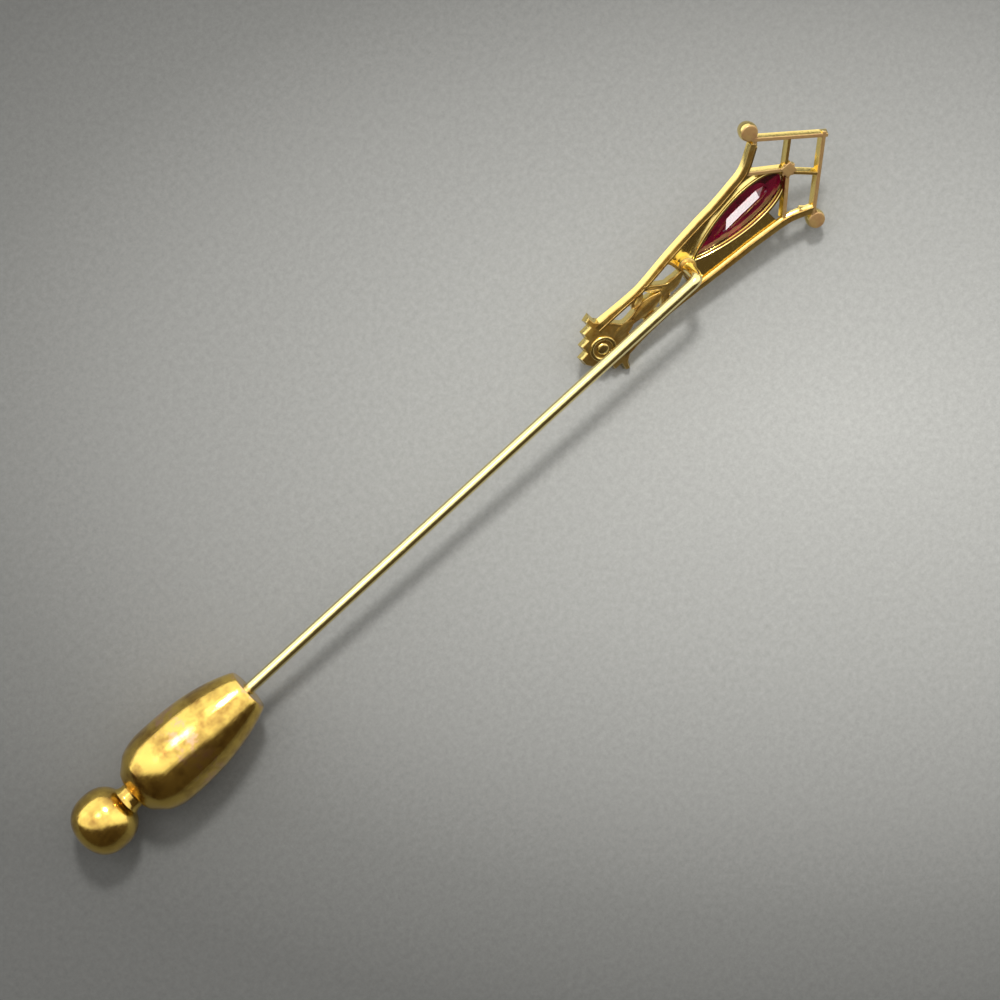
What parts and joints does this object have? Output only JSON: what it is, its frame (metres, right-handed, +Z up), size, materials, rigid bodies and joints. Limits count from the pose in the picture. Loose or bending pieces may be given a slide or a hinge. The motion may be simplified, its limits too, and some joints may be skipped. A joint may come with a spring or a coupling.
{
  "type": "stick pin with pull clutch",
  "caption": "Stick pin with a pierced head, pear-cut red stone in a bezel, long straight stem and a bullet-shaped pull clutch, lying back up.",
  "frame": {"origin": "middle of the whole pin's box, on the surface that it lies on", "axes": "+X along the stem in plan towards the head, +Y to the left of it, +Z up from the surface"},
  "size_m": [0.0686, 0.0086, 0.007],
  "materials": {
    "gold": "polished yellow gold, worn",
    "red_stone": "faceted transparent red stone",
    "clutch_metal": "polished gold plate with rubbed bands and fine scratches",
    "knob_metal": "polished gold plate, worn"
  },
  "bodies": {
    "pin": {"pin_head_and_stem": "gold", "pear_stone": "red_stone"},
    "clutch": {"clutch_body": "clutch_metal"},
    "knob": {"clutch_knob": "knob_metal"}
  },
  "joints": [
    {"name": "clutch_slide", "type": "slide", "parent": "pin", "child": "clutch", "axis": [-0.9993, 0, -0.037], "range_m": [0, 0.03]},
    {"name": "knob_pull", "type": "slide", "parent": "clutch", "child": "knob", "axis": [-0.9993, 0, -0.037], "range_m": [0, 0.0012], "stiffness_N_per_m": 800, "springref_m": -0.0005}
  ]
}
